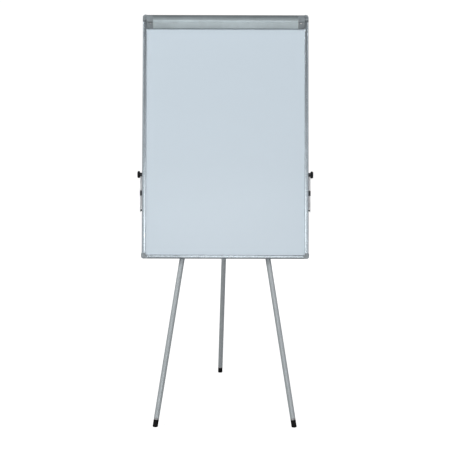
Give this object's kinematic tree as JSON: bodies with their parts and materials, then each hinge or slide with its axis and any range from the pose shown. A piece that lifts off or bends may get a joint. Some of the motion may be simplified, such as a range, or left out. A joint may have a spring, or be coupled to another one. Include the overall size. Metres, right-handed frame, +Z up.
{
  "type": "flipchart easel",
  "caption": "Tripod flipchart easel: framed magnetic board with a full-width pad clamp, pull-out side arms and folding telescopic tube legs with rubber feet.",
  "frame": {"origin": "on the floor, in the middle of the easel's footprint box", "axes": "+Z up, -Y is the side the board faces, +X to the right of someone facing the board"},
  "size_m": [0.74, 0.931, 1.7193],
  "materials": {
    "enamel_white": "smooth semi-gloss dry-wipe coat on steel",
    "board_core": "light fibre board, mostly hidden",
    "zinc_sheet": "thin galvanised sheet",
    "frame_aluminium": "satin anodised extrusion",
    "clamp_aluminium": "satin anodised extrusion",
    "grey_plastic": "moulded, fine grain",
    "bright_steel": "zinc plated",
    "spring_steel": "oiled wire",
    "black_rubber": "moulded rubber",
    "black_plastic": "moulded, fine grain",
    "dark_plastic": "moulded, fine grain",
    "dark_steel": "powder coat",
    "white_nylon": "natural nylon",
    "leg_silver": "silver-grey coat on steel tube",
    "inner_silver": "plated steel tube",
    "light_plastic": "moulded grey plastic",
    "arm_aluminium": "satin strip"
  },
  "bodies": {
    "board": {"writing_sheet": "enamel_white", "core_panel": "board_core", "back_sheet": "zinc_sheet", "side_rail_left": "frame_aluminium", "side_rail_right": "frame_aluminium", "top_rail": "frame_aluminium", "bottom_rail": "frame_aluminium", "top_corner_left": "grey_plastic", "top_corner_right": "grey_plastic", "bottom_corner_left": "grey_plastic", "bottom_corner_right": "grey_plastic", "clamp_hinge_pins": "bright_steel", "clamp_springs": "spring_steel", "pad_pin_rail": "frame_aluminium", "head_front_plate": "dark_steel", "head_rear_plate": "dark_steel", "front_pivot_bolts": "bright_steel", "pivot_washers": "white_nylon", "rear_hinge_pin": "bright_steel", "leg_guide_bar": "dark_steel", "guide_spacers": "black_plastic", "back_screws": "bright_steel", "rod_guides": "black_plastic", "rod_bushes": "black_plastic"},
    "clamp": {"clamp_bar": "clamp_aluminium", "clamp_caps": "grey_plastic", "clamp_grip_strip": "black_rubber", "cap_screws": "bright_steel"},
    "left_pad_pin": {"pad_pin_left": "black_plastic"},
    "right_pad_pin": {"pad_pin_right": "black_plastic"},
    "left_leg": {"left_leg_tube": "leg_silver", "left_leg_plug": "black_plastic", "left_leg_bush": "light_plastic"},
    "left_extension": {"left_inner_tube": "inner_silver", "left_foot": "black_rubber"},
    "left_leg_screw": {"left_lock_screw": "black_plastic"},
    "right_leg": {"right_leg_tube": "leg_silver", "right_leg_plug": "black_plastic", "right_leg_bush": "light_plastic"},
    "right_extension": {"right_inner_tube": "inner_silver", "right_foot": "black_rubber"},
    "right_leg_screw": {"right_lock_screw": "black_plastic"},
    "rear_leg": {"rear_leg_tube": "leg_silver", "rear_leg_plug": "black_plastic", "rear_leg_bush": "light_plastic"},
    "rear_extension": {"rear_inner_tube": "inner_silver", "rear_foot": "black_rubber"},
    "rear_leg_screw": {"rear_lock_screw": "black_plastic"},
    "left_rod": {"left_arm_rod": "bright_steel"},
    "left_arm": {"left_clip_arm": "arm_aluminium", "left_arm_hub": "dark_plastic", "left_arm_sleeve": "dark_plastic", "left_arm_tip": "black_plastic"},
    "left_knob": {"left_arm_knob": "black_plastic"},
    "right_rod": {"right_arm_rod": "bright_steel"},
    "right_arm": {"right_clip_arm": "arm_aluminium", "right_arm_hub": "dark_plastic", "right_arm_sleeve": "dark_plastic", "right_arm_tip": "black_plastic"},
    "right_knob": {"right_arm_knob": "black_plastic"}
  },
  "joints": [
    {"name": "clamp_hinge", "type": "hinge", "parent": "board", "child": "clamp", "pos_m": [0, -0.23098, 1.69837], "axis": [-1, 0, 0], "range_deg": [0, 24], "stiffness_Nm_per_rad": 1.5, "springref_deg": -17.19, "deforming": ["clamp_springs"]},
    {"name": "left_pad_pin_slide", "type": "slide", "parent": "board", "child": "left_pad_pin", "axis": [1, 0, 0], "range_m": [-0.05, 0.05]},
    {"name": "right_pad_pin_slide", "type": "slide", "parent": "board", "child": "right_pad_pin", "axis": [1, 0, 0], "range_m": [-0.05, 0.05]},
    {"name": "left_leg_splay", "type": "hinge", "parent": "board", "child": "left_leg", "pos_m": [-0.0352, -0.19873, 1.61429], "axis": [0, -0.9877, 0.1564], "range_deg": [0, 8.92]},
    {"name": "right_leg_splay", "type": "hinge", "parent": "board", "child": "right_leg", "pos_m": [0.0352, -0.19873, 1.61429], "axis": [0, 0.9877, -0.1564], "range_deg": [0, 8.92]},
    {"name": "rear_leg_fold", "type": "hinge", "parent": "board", "child": "rear_leg", "pos_m": [0.022, -0.15485, 1.63569], "axis": [-0.9996, 0.0046, 0.0293], "range_deg": [0, 29.4]},
    {"name": "left_leg_extend", "type": "slide", "parent": "left_leg", "child": "left_extension", "axis": [-0.1551, -0.1545, -0.9757], "range_m": [0, 0.25]},
    {"name": "left_leg_lock", "type": "hinge", "parent": "left_leg", "child": "left_leg_screw", "pos_m": [-0.27901, -0.44174, 0.08001], "axis": [0, 0.9877, -0.1564], "range_deg": [0, 360]},
    {"name": "right_leg_extend", "type": "slide", "parent": "right_leg", "child": "right_extension", "axis": [0.1551, -0.1545, -0.9757], "range_m": [0, 0.25]},
    {"name": "right_leg_lock", "type": "hinge", "parent": "right_leg", "child": "right_leg_screw", "pos_m": [0.27901, -0.44174, 0.08001], "axis": [0, 0.9877, -0.1564], "range_deg": [0, 360]},
    {"name": "rear_leg_extend", "type": "slide", "parent": "rear_leg", "child": "rear_extension", "axis": [-0.0258, 0.3486, -0.9369], "range_m": [0, 0.25]},
    {"name": "rear_leg_lock", "type": "hinge", "parent": "rear_leg", "child": "rear_leg_screw", "pos_m": [-0.021, 0.42523, 0.07683], "axis": [0.0146, 0.9372, 0.3484], "range_deg": [0, 360]},
    {"name": "left_rod_pull", "type": "slide", "parent": "board", "child": "left_rod", "axis": [-1, 0, 0], "range_m": [0, 0.2]},
    {"name": "left_arm_swing", "type": "hinge", "parent": "left_rod", "child": "left_arm", "pos_m": [-0.355, -0.31136, 1.04895], "axis": [1, 0, 0], "continuous": true},
    {"name": "left_knob_turn", "type": "hinge", "parent": "left_rod", "child": "left_knob", "pos_m": [-0.355, -0.31136, 1.04895], "axis": [-1, 0, 0], "range_deg": [0, 360]},
    {"name": "right_rod_pull", "type": "slide", "parent": "board", "child": "right_rod", "axis": [1, 0, 0], "range_m": [0, 0.2]},
    {"name": "right_arm_swing", "type": "hinge", "parent": "right_rod", "child": "right_arm", "pos_m": [0.355, -0.31136, 1.04895], "axis": [1, 0, 0], "continuous": true},
    {"name": "right_knob_turn", "type": "hinge", "parent": "right_rod", "child": "right_knob", "pos_m": [0.355, -0.31136, 1.04895], "axis": [1, 0, 0], "range_deg": [0, 360]}
  ]
}
